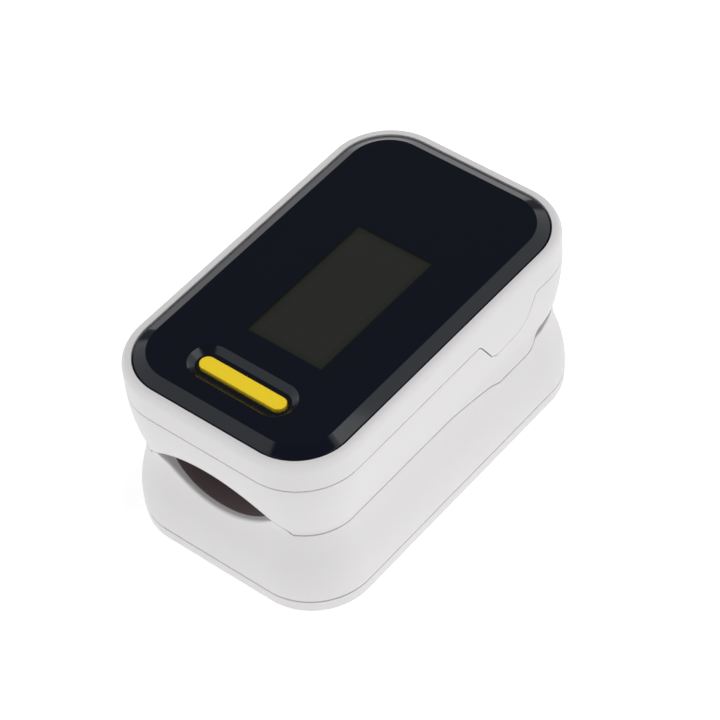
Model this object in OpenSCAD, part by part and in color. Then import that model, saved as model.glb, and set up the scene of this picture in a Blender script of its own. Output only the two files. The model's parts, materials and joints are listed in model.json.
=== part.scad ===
// Fingertip pulse oximeter: a clam-shell of two sprung halves that close on a finger.
// Frame: origin under the middle of the base, X across, Y along the finger, Z up.
// The finger goes in at -Y, and the rear ends (+Y) are squeezed together to open the front.

/* [Display panel] */
// Width of the dark display panel's outline
panel_w = 34; // [33:0.5:35]
// Length of the dark display panel's outline
panel_l = 57; // [56:0.5:58]
// Corner radius of the panel's outline
panel_r = 7.9; // [7:0.1:9]
// Width of the sloping bevel round the panel's top
bevel_w = 1.9; // [1.2:0.1:2.4]
// Rise of that bevel
bevel_rise = 1.0; // [0.6:0.1:1.2]
// Width of the display window
window_w = 12.3; // [11:0.1:13]
// Length of the display window
window_l = 23.3; // [22:0.1:24]
// Place of the window's middle along the panel
window_y = -1.5; // [-3:0.1:0]

/* [Casing] */
// Height of the panel's outer edge above the table
panel_z = 29.2; // [28.8:0.1:29.6]
// Wall thickness of the shells
wall = 1.3; // [1.1:0.1:1.5]
// Swell of the upper half beyond the panel's outline
upper_swell = 1.47; // [1.2:0.01:1.5]
// Swell of the lower half beyond the panel's outline
lower_swell = 1.58; // [1.3:0.01:1.6]
// How far the waist is pulled in from the panel's outline
waist_inset = 0.1; // [0:0.05:0.5]
// Visible seam between two fixed covers
seam = 0.14; // [0.1:0.02:0.2]
// Gap along the clam seam
clam_gap = 0.24; // [0.2:0.02:0.3]

/* [Power button] */
// Length of the button's pill-shaped face
button_l = 14.3; // [13:0.1:15]
// Width of the button's face
button_w = 2.3; // [2.1:0.1:2.6]
// Place of the button along the panel
button_y = -20.95; // [-22:0.05:-20]
// Travel of the button
button_travel = 0.4; // [0.3:0.05:0.5]

/* [Finger opening] */
// Radius of the scoop in the lower half
scoop_r = 13; // [12.5:0.1:13.5]
// Height of the scoop's lowest line
scoop_z = 11.8; // [11.6:0.1:12]
// Radius of the arch in the upper half
arch_r = 16.3; // [16:0.1:16.6]
// Height of the arch's crown
arch_z = 20; // [19.8:0.05:20.1]
// Height of the crown of the upper liner's vault
vault_z = 18.6; // [18.4:0.1:18.7]

/* [Hinge and cells] */
// Place of the hinge axis along the body
pivot_y = 16.8; // [16.5:0.1:17]
// Height of the hinge axis
pivot_z = 14.6; // [14.5:0.05:14.7]
// Diameter of the hinge pin
pin_d = 1.6; // [1.5:0.05:1.7]
// Diameter of an AAA cell
cell_d = 10.4; // [10.2:0.1:10.5]
// Length of an AAA cell without its nub
cell_l = 43.5; // [43:0.1:43.7]

/* [Hidden] */
$fn = 64;

tiny = 0.01;
far = 60;

// Corner centres of every outline
corner_x = panel_w / 2 - panel_r;
corner_y = panel_l / 2 - panel_r;

// Heights of the casing, from the table up
base_round_z = 0.5;
base_seam_z = 2.2;
lower_wide_z = 3.2;
waist_z = 14.9;
upper_wide_z = 25.5;
top_seam_z = 24.9;
rim_round_z = 28.3;
rim_z = 29.4;
rim_top_swell = 0.65;
base_bottom_swell = 1.05;
base_arc_r = 22;

// The side wall is an S below the waist and one arc above it
lower_rise = waist_z - lower_wide_z;
lower_run = lower_swell + waist_inset;
lower_arc_r = (pow(lower_rise, 2) + pow(lower_run, 2)) / (4 * lower_run);
upper_rise = upper_wide_z - waist_z;
upper_run = upper_swell + waist_inset;
upper_arc_r = (pow(upper_rise, 2) + pow(upper_run, 2)) / (2 * upper_run);

// How far the outer skin stands beyond the panel's outline at a height
function sag(radius, rise) = radius - sqrt(pow(radius, 2) - pow(rise, 2));
function lower_skin(z) = z > lower_wide_z + lower_rise / 2
    ? -waist_inset + sag(lower_arc_r, waist_z - z)
    : lower_swell - sag(lower_arc_r, z - lower_wide_z);
function base_side(z) = lower_swell - sag(base_arc_r, lower_wide_z - z);
function base_skin(z) = z > base_round_z ? base_side(z)
    : base_bottom_swell + (base_side(base_round_z) - base_bottom_swell)
        * sqrt(1 - pow(1 - z / base_round_z, 2));
function upper_skin(z) = z > upper_wide_z ? upper_swell : upper_swell - sag(upper_arc_r, upper_wide_z - z);
function rim_skin(z) = rim_top_swell + (upper_swell - rim_top_swell)
    * sqrt(max(0, 1 - pow((z - rim_round_z) / (rim_z - rim_round_z), 2)));
function skin(z) = z < lower_wide_z ? base_skin(z)
    : z < waist_z ? lower_skin(z)
    : z < rim_round_z ? upper_skin(z)
    : rim_skin(z);

// Heights at which the skin is drawn, closer together where it bends more
skin_steps = concat([0, 0.04, 0.13, 0.28, base_round_z, 1.4],
    [for (i = [0:12]) lower_wide_z + lower_rise * i / 12],
    [for (i = [1:7]) waist_z + upper_rise * i / 7],
    [rim_round_z, 28.7, 29, 29.2, 29.33, rim_z]);
function heights(low, high) = concat([low], [for (z = skin_steps) if (z > low + 0.05 && z < high - 0.05) z], [high]);

// Solid of a stated section, swept round the rounded outline and filled in the middle
module sweep(section, low, high) {
    for (side = [-1, 1])
        for (end = [-1, 1])
            translate([side * corner_x, end * corner_y, 0])
                rotate([0, 0, side > 0 ? (end > 0 ? 0 : 270) : (end > 0 ? 90 : 180)])
                    rotate_extrude(angle = 90) polygon(section);
    for (turn = [0, 180])
        rotate([0, 0, turn]) {
            translate([corner_x, 0, 0])
                rotate([90, 0, 0]) linear_extrude(2 * corner_y, center = true) polygon(section);
            translate([0, corner_y, 0])
                rotate([90, 0, 90]) linear_extrude(2 * corner_x, center = true) polygon(section);
        }
    translate([-corner_x, -corner_y, low]) cube([2 * corner_x, 2 * corner_y, high - low]);
}

// Body inside the casing's skin, drawn inwards by inset, between two heights
module casing_body(inset, low, high) {
    levels = heights(low, high);
    section = concat([[0, low]], [for (z = levels) [panel_r + skin(z) - inset, z]], [[0, high]]);
    sweep(section, low, high);
}

// Upright block with the panel's outline grown by grow
module outline_block(grow, low, high) {
    sweep([[0, low], [panel_r + grow, low], [panel_r + grow, high], [0, high]], low, high);
}

// Block from a side view: points are [y, z]
module side_prism(points, width) {
    rotate([90, 0, 90]) linear_extrude(width, center = true) polygon(points);
}

// Bar along X between two places
module bar_x(radius, from_x, to_x, y, z) {
    translate([from_x, y, z]) rotate([0, 90, 0]) cylinder(r = radius, h = to_x - from_x);
}

// Bar along Y between two places
module bar_y(radius, x, from_y, to_y, z) {
    translate([x, from_y, z]) rotate([-90, 0, 0]) cylinder(r = radius, h = to_y - from_y);
}

// Flat pill lying across the body
module pill(length, width, low, high) {
    reach = (length - width) / 2;
    translate([0, 0, low]) linear_extrude(high - low) {
        for (side = [-1, 1])
            translate([side * reach, 0]) circle(d = width);
        square([2 * reach, width], center = true);
    }
}

// Pill whose side slopes outwards from the bottom to the top
module flared_pill(length, width, flare, low, high) {
    reach = (length - width) / 2;
    for (side = [-1, 1])
        translate([side * reach, 0, low]) cylinder(r1 = width / 2, r2 = width / 2 + flare, h = high - low);
    rotate([90, 0, 90]) linear_extrude(2 * reach, center = true)
        polygon([[-width / 2, low], [width / 2, low], [width / 2 + flare, high], [-width / 2 - flare, high]]);
}

// Line of the clam seam along the side: level, a dip before the hinge, then an arc about the pivot
pivot_arc_r = 2.48;
seam_front = [[-far, 14.2], [0.5, 14.1], [2.5, 13.85], [5.7, 13.4], [9, 12.8], [10.8, pivot_z - pivot_arc_r]];
function pivot_arc(radius, last_angle) = [for (i = [0:4]) let (angle = -90 + (last_angle + 90) * i / 4)
    [pivot_y + radius * cos(angle), pivot_z + radius * sin(angle)]];
function shifted(points, rise) = [for (p = points) [p[0], p[1] + rise]];
upper_edge = concat(shifted(seam_front, clam_gap / 2), pivot_arc(pivot_arc_r - clam_gap / 2, -15),
    [[19.9, 14.7], [20.9, 15.35], [22.4, 16], [25, 16.8], [far, 24]]);
lower_edge = concat(shifted(seam_front, -clam_gap / 2), pivot_arc(pivot_arc_r + clam_gap / 2, -25),
    [[20.6, 13.75], [21.4, 14.15], [23.5, 14.4], [far, 14.4]]);

// Everything above the clam seam, and everything below it
module above_seam() { side_prism(concat(upper_edge, [[far, far], [-far, far]]), 2 * far); }
module below_seam() { side_prism(concat(lower_edge, [[far, -far], [-far, -far]]), 2 * far); }

// Crown of the upper half over the finger, and what of it belongs to the lower half's front wall
module arch(shrink) { bar_y(arch_r - shrink, 0, -far, 10, arch_z - arch_r); }
module scoop(grow, from_y, to_y) { bar_y(scoop_r + grow, 0, from_y, to_y, scoop_z + scoop_r); }

// Lug of the top cover that runs down each side over the hinge: [y, z]
lug = [[5, 30], [5, top_seam_z], [5.6, 24.5], [8.2, 20.3], [9.4, 19.6], [11.5, 19.8], [14, 19.9],
    [15.2, 20.6], [16.1, 21.8], [17.1, 24], [17.9, top_seam_z], [17.9, 30]];
function lug_grown(gap) = [for (p = lug) [p[0] + (p[0] < 10 ? -gap : gap), p[1] - (p[1] < 20 ? gap : 0)]];

// ---- Upper half ----

floor_z = 20;
floor_t = 0.8;
ledge_t = 1;
panel_t = 1.3;
board_z = 23.4;
board_t = 1;
board_top = board_z + board_t;
screw_x = 11.5;
screw_y = 22;
screw_r = 0.8;
upper_ear_r = 1.6;
lower_ear_r = 2.1;
upper_ear_x = 11.6;
lower_ear_x = 13.6;
ear_t = 1.5;
pin_fit = 0.06;
pin_half = 15.2;
pocket_gap = 0.1;
emitter_y = -5;
glass_t = 1.4;
glass_z = 26.2;

// Glossy panel with its sloping bevel, the window's seat behind, and the button's dish and slot
button_fit = 0.2;
dish_l = 15.4;
dish_w = 4.1;
dish_flare = 0.95;
dish_depth = 0.8;
window_skin = 1;
module display_panel() color([0.08, 0.09, 0.12]) {
    bottom = panel_z - panel_t;
    top = panel_z + bevel_rise;
    section = [[0, bottom], [panel_r, bottom], [panel_r, panel_z], [panel_r - bevel_w, top], [0, top]];
    difference() {
        sweep(section, bottom, top);
        translate([0, button_y, 0]) {
            pill(button_l + 2 * button_fit, button_w + 2 * button_fit, bottom - 1, top + 1);
            flared_pill(dish_l, dish_w, dish_flare, top - dish_depth, top + tiny);
        }
        translate([-window_w / 2 - 1, window_y - window_l / 2 - 1, bottom - 1])
            cube([window_w + 2, window_l + 2, top - window_skin - bottom + 1]);
    }
}

// White frame round the panel, with a ledge under it and a lug down each side
module top_cover() color([0.9, 0.9, 0.9]) difference() {
    intersection() {
        casing_body(0, 19, rim_z);
        union() {
            translate([-far, -far, top_seam_z]) cube([2 * far, 2 * far, far]);
            side_prism(lug, 2 * far);
        }
    }
    outline_block(pocket_gap, panel_z - panel_t, far);
    outline_block(-1.6, panel_z - panel_t - ledge_t - tiny, far);
    outline_block(upper_swell - wall, 0, panel_z - panel_t - ledge_t);
    casing_body(wall, 18, top_seam_z + 1);
}

// Saddle floor over the finger, with the hole for the light
module upper_floor() difference() {
    union() {
        difference() {
            casing_body(wall / 2, floor_z, floor_z + floor_t);
            side_prism(lug_grown(seam), 2 * far);
        }
        casing_body(wall + 0.1, floor_z, floor_z + floor_t);
    }
    translate([0, emitter_y, floor_z - 1]) cylinder(d = 6, h = 3);
    translate([0, pivot_y + 5.6, floor_z - 1]) linear_extrude(3) square([7, 1.6], center = true);
}

// Hinge ear under the saddle floor
module upper_ear(side) {
    low = side > 0 ? upper_ear_x : -upper_ear_x - ear_t;
    difference() {
        union() {
            bar_x(upper_ear_r, low, low + ear_t, pivot_y, pivot_z);
            translate([low, pivot_y - upper_ear_r, pivot_z]) cube([ear_t, 2 * upper_ear_r, floor_z - pivot_z + tiny]);
        }
        bar_x(pin_d / 2 + pin_fit, low - 1, low + ear_t + 1, pivot_y, pivot_z);
    }
}

module upper_shell() color([0.88, 0.88, 0.88]) {
    difference() {
        casing_body(0, pivot_z - pivot_arc_r, top_seam_z - seam);
        casing_body(wall, 0, far);
        side_prism(concat(upper_edge, [[far, -far], [-far, -far]]), 2 * far);
        arch(0);
        side_prism(lug_grown(seam), 2 * far);
    }
    upper_floor();
    for (side = [-1, 1]) {
        upper_ear(side);
        for (end = [-1, 1])
            translate([side * screw_x, end * screw_y, floor_z + floor_t / 2]) difference() {
                cylinder(r = 1.7, h = board_z - floor_z - floor_t / 2);
                translate([0, 0, 1.2]) cylinder(r = screw_r, h = 4);
            }
    }
}

// Glass display under the window
module display_module() color([0.1, 0.1, 0.1])
    translate([0, window_y, glass_z + glass_t / 2]) cube([19.3, 26.7, glass_t], center = true);

// Moulded frame that carries the display above the board
module display_holder() color([0.2, 0.2, 0.2])
    translate([0, window_y, (board_top + glass_z) / 2]) difference() {
        cube([19.3, 26.7, glass_z - board_top], center = true);
        cube([16.3, 23.7, 3], center = true);
    }

// Flat ribbon that folds from the display's end down to the board
module display_ribbon() color([0.6, 0.35, 0.1]) {
    display_end = window_y + 26.7 / 2;
    translate([-5, display_end + 0.05, board_top]) cube([10, 0.15, glass_z + 1 - board_top]);
    translate([-5, display_end + 0.05, board_top]) cube([10, 4, 0.15]);
}

module main_board() color([0.1, 0.4, 0.2]) difference() {
    outline_block(-2.2, board_z, board_top);
    for (side = [-1, 1])
        for (end = [-1, 1])
            translate([side * screw_x, end * screw_y, board_z - 1]) cylinder(r = screw_r + 0.15, h = 4);
}

// Processor, amplifier and regulator soldered under the board
module board_chips() color([0.12, 0.12, 0.12]) {
    translate([-3.5, 2, board_z - 1.2]) cube([7, 7, 1.2]);
    translate([-8, -14, board_z - 1]) cube([5, 4, 1]);
    translate([4, -13, board_z - 0.9]) cube([3, 3, 0.9]);
}

module board_screws() color([0.7, 0.7, 0.72])
    for (side = [-1, 1])
        for (end = [-1, 1])
            translate([side * screw_x, end * screw_y, 0]) difference() {
                union() {
                    translate([0, 0, floor_z + 2]) cylinder(r = screw_r - 0.04, h = board_top - floor_z - 2);
                    translate([0, 0, board_top]) cylinder(r = 1.5, h = 0.9);
                }
                translate([0, 0, board_top + 0.4]) linear_extrude(1) {
                    square([2, 0.4], center = true);
                    square([0.4, 2], center = true);
                }
            }

// Click switch on the board, under the button
plunger_top = board_top + 2.3;
plunger_r = 1;
module button_switch() color([0.15, 0.15, 0.16])
    translate([0, button_y, board_top]) difference() {
        translate([-3, -1.8, 0]) cube([6, 3.6, 1.6]);
        translate([0, 0, 0.5]) cylinder(r = plunger_r + 0.08, h = 3);
    }

// Cap with a pill face, on a wider flange that the panel holds in
flange_z = panel_z - panel_t - 0.1;
button_stand = 0.6;
module power_button() color([0.94, 0.82, 0.12]) translate([0, button_y, 0]) {
    pill(button_l, button_w, flange_z - tiny, panel_z + button_stand);
    pill(button_l + 3, button_w + 3, plunger_top, flange_z);
}

module switch_plunger() color([0.1, 0.1, 0.1])
    translate([0, button_y, board_top + 0.5 + button_travel + 0.1])
        cylinder(r = plunger_r, h = plunger_top - board_top - 0.5 - button_travel - 0.1 - 0.05);

pad_half = 11.4;
upper_pad_front = -26.6;
pad_rear = 11;
// Soft liner over the fingertip, with a stop at its inner end
module upper_pad() color([0.22, 0.19, 0.18]) difference() {
    translate([-pad_half, upper_pad_front, 16.2]) cube([2 * pad_half, pad_rear - upper_pad_front, floor_z - 16.2]);
    bar_y(12.5, 0, -far, pad_rear - 1.4, vault_z - 12.5);
    translate([-far, -far, 0]) cube([2 * far, far + pad_rear - 1.4, 17]);
    translate([0, emitter_y, 0]) cylinder(d = 5.2, h = far);
}

module emitter_window() color([0.75, 0.2, 0.2, 0.6])
    translate([0, emitter_y, vault_z + 0.1]) cylinder(d = 5, h = 0.8);

module emitter_led() color([0.9, 0.88, 0.8])
    translate([-1.6, emitter_y - 1.6, vault_z + 0.95]) cube([3.2, 3.2, floor_z + floor_t - vault_z - 0.95]);

module emitter_board() color([0.1, 0.4, 0.2])
    translate([-4.5, emitter_y - 5, floor_z + floor_t]) cube([9, 10, 0.6]);

// ---- Lower half ----

trough_t = 0.8;
pad_t = 1;
pad_front = -27.7;
pad_fit = 0.05;
bay_roof_z = 11.85;
cell_x = 9.9;
cell_bottom = 1.3;
cell_z = cell_bottom + cell_d / 2;
cell_front = -24.4;
cell_rear = cell_front + cell_l;
door_half = 12;
door_front = -22;
door_t = 1.1;
flange_w = 0.7;
base_plate_t = 1.2;
base_screw = [[-3.6, -25.9], [3.6, -25.9], [-14.6, 22.8], [14.6, 22.8]];
boss_r = 1.4;
base_hole_r = 0.7;
deck_half = 14.4;

// Hinge ear that stands on the wall of the lower shell
ear_foot = 2.8;
module lower_ear(side) {
    low = side > 0 ? lower_ear_x : -lower_ear_x - ear_t;
    foot = side > 0 ? lower_ear_x : -lower_ear_x - ear_foot;
    difference() {
        union() {
            bar_x(lower_ear_r, low, low + ear_t, pivot_y, pivot_z);
            translate([low, pivot_y - lower_ear_r, 10.5]) cube([ear_t, 2 * lower_ear_r, pivot_z - 10.5]);
            translate([foot, pivot_y - lower_ear_r, 10.5]) cube([ear_foot, 2 * lower_ear_r, 1.3]);
        }
        bar_x(pin_d / 2, low - 1, low + ear_t + 1, pivot_y, pivot_z);
    }
}

// Trough that carries the lower liner, with the deck behind it over the cells
module trough() {
    difference() {
        intersection() {
            scoop(pad_t + trough_t, -28.1, pad_rear + 1);
            translate([-10.8, -far, 0]) cube([21.6, 2 * far, 15.6]);
        }
        scoop(pad_t, -far, pad_rear + 0.1);
        translate([0, emitter_y, 0]) cylinder(d = 7, h = far);
    }
    difference() {
        intersection() {
            casing_body(wall / 2, bay_roof_z, bay_roof_z + trough_t);
            translate([-far, pad_rear + 1 - tiny, 0]) cube([2 * far, far, far]);
        }
        for (side = [-1, 1])
            translate([side * (deck_half + far / 2), 0, bay_roof_z]) cube([far, 2 * 20, 5], center = true);
        translate([-4, 22, 0]) cube([8, 2, far]);
    }
}

// Screw boss with a rib to the nearest wall
boss_h = 6;
module base_boss(place) difference() {
    translate([0, 0, base_seam_z + seam]) {
        translate([place[0], place[1], 0]) cylinder(r = boss_r, h = boss_h);
        if (place[1] < 0)
            translate([place[0] - 0.5, -28.7, 0]) cube([1, 2.8, boss_h]);
        else
            translate([place[0] > 0 ? place[0] : place[0] - 2.8, place[1] - 0.5, 0]) cube([2.8, 1, boss_h]);
    }
    translate([place[0], place[1], 0]) cylinder(r = base_hole_r, h = base_seam_z + boss_h - 1);
}

// Lip inside the clam seam, which hides the gap from the front corners back to the hinge
lip_top = 15.1;
lip_t = 0.6;
lip_inset = wall + 0.3;
module inner_lip() difference() {
    intersection() {
        union() {
            casing_body(lip_inset, 12.6, lip_top);
            casing_body(wall / 2, 12.6, 13.2);
        }
        translate([-far, -far, 0]) cube([2 * far, far + 6, far]);
    }
    casing_body(lip_inset + lip_t, 0, far);
    scoop(pad_t + pad_fit, -far, 0);
    side_prism(concat(shifted(lower_edge, 1), [[far, far], [-far, far]]), 2 * far);
}

arch_half = 12.9;
module lower_shell() color([0.86, 0.86, 0.86]) {
    difference() {
        casing_body(0, base_seam_z + seam, 17);
        casing_body(wall, 0, far);
        difference() {
            union() {
                side_prism(concat(lower_edge, [[far, far], [-far, far]]), 2 * far);
                translate([-far, -far, 15.8]) cube([2 * far, 2 * far, far]);
            }
            intersection() {
                arch(clam_gap);
                translate([-arch_half, -far, 0]) cube([2 * arch_half, far - 20, far]);
            }
        }
        scoop(0, -far, 0);
        scoop(pad_t + pad_fit, pad_front - pad_fit, 0);
    }
    trough();
    for (side = [-1, 1])
        lower_ear(side);
    for (place = base_screw)
        base_boss(place);
    inner_lip();
}

module base_cover() color([0.85, 0.85, 0.85]) difference() {
    casing_body(0, 0, base_seam_z);
    casing_body(wall, base_plate_t, far);
    // opening for the sliding door, running out through the rear
    translate([-door_half - 0.15, door_front, -1]) cube([2 * door_half + 0.3, far, 10]);
    translate([-door_half - flange_w - 0.15, door_front, 0.5]) cube([2 * (door_half + flange_w + 0.15), far, 10]);
    for (place = base_screw)
        translate([place[0], place[1], -1]) {
            cylinder(r = base_hole_r + 0.15, h = 5);
            cylinder(r = 1.3, h = 1.6);
        }
}

module base_screws() color([0.7, 0.7, 0.72])
    for (place = base_screw)
        translate([place[0], place[1], 0.1]) difference() {
            union() {
                cylinder(r = 1.2, h = 0.5);
                cylinder(r = base_hole_r - 0.04, h = 5.5);
            }
            translate([0, 0, -0.1]) linear_extrude(0.4) {
                square([1.6, 0.35], center = true);
                square([0.35, 1.6], center = true);
            }
        }

// Door of the battery bay, which slides out to the rear, with grip grooves
module battery_door() color([0.84, 0.84, 0.84]) difference() {
    intersection() {
        casing_body(0, 0.1, base_seam_z);
        union() {
            translate([-door_half, door_front + 0.2, 0]) cube([2 * door_half, far, door_t]);
            translate([-door_half - flange_w, door_front + 0.2, 0.65]) cube([2 * (door_half + flange_w), far, door_t - 0.65]);
            translate([-door_half, 28.6, 0]) cube([2 * door_half, far, base_seam_z]);
        }
    }
    for (groove = [0:4])
        translate([-4, 17 + 1.6 * groove, -1]) cube([8, 0.7, 1.35]);
}

// Cell with its nub towards the given end
module cell(x, end) color([0.75, 0.75, 0.78]) {
    middle = (cell_front + cell_rear) / 2;
    translate([x, middle, cell_z]) rotate([end > 0 ? -90 : 90, 0, 0]) translate([0, 0, -cell_l / 2]) {
        cylinder(d = cell_d, h = cell_l);
        cylinder(d = 3.8, h = cell_l + 1);
    }
}
module battery_left() { cell(-cell_x, 1); }
module battery_right() { cell(cell_x, -1); }

// Sprung end of a cell and plate end of its neighbour
plate_t = 0.3;
plate_front = cell_front - 1.05 - plate_t;
plate_rear = cell_rear + 1.05;
spring_gap = 2.6;
module contact_plates() color([0.8, 0.78, 0.7]) {
    translate([cell_x - 3.5, plate_front, cell_z - 3.5]) cube([7, plate_t, 7]);
    translate([-cell_x - 3.5, plate_rear, cell_z - 3.5]) cube([7, plate_t, 7]);
}

module contact_spring(x, from_y, end) {
    translate([x, from_y, cell_z]) rotate([end > 0 ? -90 : 90, 0, 0]) difference() {
        cylinder(r1 = 2, r2 = 3.4, h = spring_gap);
        translate([0, 0, -1]) cylinder(r = 1.2, h = 5);
    }
}
module contact_springs() color([0.8, 0.8, 0.82]) {
    contact_spring(-cell_x, cell_front - 0.02, -1);
    contact_spring(cell_x, cell_rear + 0.02, 1);
}

module lower_pad() color([0.22, 0.19, 0.18]) {
    difference() {
        intersection() {
            scoop(pad_t - 0.02, pad_front, pad_rear);
            translate([-10.6, -far, 0]) cube([21.2, 2 * far, 15.5]);
        }
        scoop(0, -far, pad_rear - 1.4);
        translate([0, emitter_y, 0]) cylinder(d = 6.2, h = far);
    }
}

// Detector stack under the lower liner, from the window down to the board
sensor_top = scoop_z;
window_t = 0.9;
diode_t = 0.9;
sensor_board_t = 0.65;
diode_z = sensor_top - window_t - diode_t - 0.1;
module sensor_window() color([0.5, 0.15, 0.15, 0.6])
    translate([0, emitter_y, sensor_top - window_t]) cylinder(d = 6, h = window_t);

module photodiode() color([0.15, 0.15, 0.18])
    translate([-2, emitter_y - 1.5, diode_z]) cube([4, 3, diode_t]);

module sensor_board() color([0.1, 0.4, 0.2])
    translate([-3.5, emitter_y - 4, diode_z - sensor_board_t]) cube([7, 8, sensor_board_t]);

module hinge_pin() color([0.75, 0.75, 0.77]) bar_x(pin_d / 2, -pin_half, pin_half, pivot_y, pivot_z);

// Torsion springs on the pin, one beside each upper ear, with a leg up and a leg down
coil_r = 1.65;
coil_hole_r = 0.95;
coil_w = 2.6;
leg = 0.5;
module hinge_spring(side) {
    low = side > 0 ? upper_ear_x - coil_w - 0.3 : -upper_ear_x + 0.3;
    difference() {
        bar_x(coil_r, low, low + coil_w, pivot_y, pivot_z);
        bar_x(coil_hole_r, low - 1, low + coil_w + 1, pivot_y, pivot_z);
    }
    translate([low, pivot_y + coil_r - leg, pivot_z]) cube([leg, leg, floor_z - pivot_z - 0.05]);
    translate([low + coil_w - leg, pivot_y, pivot_z - coil_r]) cube([leg, 5.5, leg]);
}
module hinge_springs() color([0.72, 0.72, 0.75])
    for (side = [-1, 1])
        hinge_spring(side);

// Flexible strip from the sensor board back under the deck and up through both slots to the main board
flex_t = 0.15;
module sensor_flex() color([0.75, 0.45, 0.12]) {
    under = diode_z - sensor_board_t - flex_t;
    translate([-2, emitter_y, under - tiny]) cube([4, pivot_y + 5.6 - emitter_y, flex_t]);
    translate([-2, pivot_y + 5.6 - flex_t, under - tiny]) cube([4, flex_t, board_z - under - 0.02]);
}

display_panel();
top_cover();
upper_shell();
display_module();
display_holder();
display_ribbon();
main_board();
board_chips();
board_screws();
button_switch();
power_button();
switch_plunger();
upper_pad();
emitter_window();
emitter_led();
emitter_board();
lower_shell();
base_cover();
base_screws();
battery_door();
battery_left();
battery_right();
contact_plates();
contact_springs();
lower_pad();
sensor_window();
photodiode();
sensor_board();
hinge_pin();
hinge_springs();
sensor_flex();
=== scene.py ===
from math import acos, asin, copysign, cos, degrees, pi, radians, sin, sqrt, tan

import bmesh
import bpy
import numpy as np
from mathutils import Matrix, Vector
from mathutils.geometry import tessellate_polygon
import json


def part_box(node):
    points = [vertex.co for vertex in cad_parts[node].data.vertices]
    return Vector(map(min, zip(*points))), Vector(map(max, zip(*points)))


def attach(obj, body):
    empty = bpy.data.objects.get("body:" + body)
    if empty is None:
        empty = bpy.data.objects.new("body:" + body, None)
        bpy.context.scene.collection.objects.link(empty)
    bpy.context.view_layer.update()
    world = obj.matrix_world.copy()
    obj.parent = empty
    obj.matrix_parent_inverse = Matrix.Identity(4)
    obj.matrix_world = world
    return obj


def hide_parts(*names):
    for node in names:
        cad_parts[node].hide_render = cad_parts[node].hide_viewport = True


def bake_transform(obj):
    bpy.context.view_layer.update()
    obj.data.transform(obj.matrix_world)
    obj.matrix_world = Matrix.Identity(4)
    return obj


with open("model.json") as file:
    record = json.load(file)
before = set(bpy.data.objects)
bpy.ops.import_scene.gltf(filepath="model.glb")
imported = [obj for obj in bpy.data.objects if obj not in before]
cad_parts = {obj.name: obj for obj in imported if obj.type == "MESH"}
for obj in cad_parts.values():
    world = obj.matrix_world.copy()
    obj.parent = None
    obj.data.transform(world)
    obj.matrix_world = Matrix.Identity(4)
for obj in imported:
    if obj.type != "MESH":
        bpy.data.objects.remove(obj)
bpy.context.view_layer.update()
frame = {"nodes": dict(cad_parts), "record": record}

# The object's sizes are in millimetres, and become metres only in meshes and materials.
# The camera, the floor and the lamps are placed in metres.
MM = 0.001


def box_mm(node):
    """Lowest and highest corner of a CAD node, in millimetres."""
    low_corner, high_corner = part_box(node)
    return np.array(low_corner) / MM, np.array(high_corner) / MM


# ---- Driving sizes, taken from the frame where a node's box gives them ----

panel_low, panel_high = box_mm("display_panel")
button_low, button_high = box_mm("power_button")
pin_low, pin_high = box_mm("hinge_pin")
emitter_low, _ = box_mm("emitter_board")
PANEL_R = 7.9
CORNER_X = panel_high[0] - PANEL_R
CORNER_Y = panel_high[1] - PANEL_R
PANEL_TOP = panel_high[2]
PANEL_BOTTOM = panel_low[2]
BEVEL_W = 1.9
BEVEL_RISE = 1.0
GROOVE_W, GROOVE_DEPTH = 0.16, 0.5
PIVOT_Y = (pin_low[1] + pin_high[1]) / 2
PIVOT_Z = (pin_low[2] + pin_high[2]) / 2
PIN_R = (pin_high[2] - pin_low[2]) / 2
BUTTON_Y = (button_low[1] + button_high[1]) / 2
BUTTON_TOP = button_high[2]
WALL = 1.3
SEAM = 0.14
CLAM_GAP = 0.16

# Heights and swells of the casing's skin beyond the panel's outline
BASE_ROUND_Z = 0.5
BASE_SEAM_Z = 2.2
LOWER_WIDE_Z = 3.2
WAIST_Z = 14.9
UPPER_WIDE_Z = 25.5
TOP_SEAM_Z = 24.9
RIM_ROUND_Z = 28.3
RIM_Z = 29.4
UPPER_SWELL = 1.47
LOWER_SWELL = 1.58
WAIST_INSET = 0.1
RIM_TOP_SWELL = 0.65
BASE_BOTTOM_SWELL = 1.05
BASE_ARC_R = 22
LOWER_RISE = WAIST_Z - LOWER_WIDE_Z
LOWER_RUN = LOWER_SWELL + WAIST_INSET
LOWER_ARC_R = (LOWER_RISE ** 2 + LOWER_RUN ** 2) / (4 * LOWER_RUN)
UPPER_RISE = UPPER_WIDE_Z - WAIST_Z
UPPER_RUN = UPPER_SWELL + WAIST_INSET
UPPER_ARC_R = (UPPER_RISE ** 2 + UPPER_RUN ** 2) / (2 * UPPER_RUN)


def sag(radius, rise):
    """How far an arc falls away from its tangent."""
    return radius - sqrt(radius ** 2 - rise ** 2)


def base_side(z):
    return LOWER_SWELL - sag(BASE_ARC_R, LOWER_WIDE_Z - z)


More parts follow.
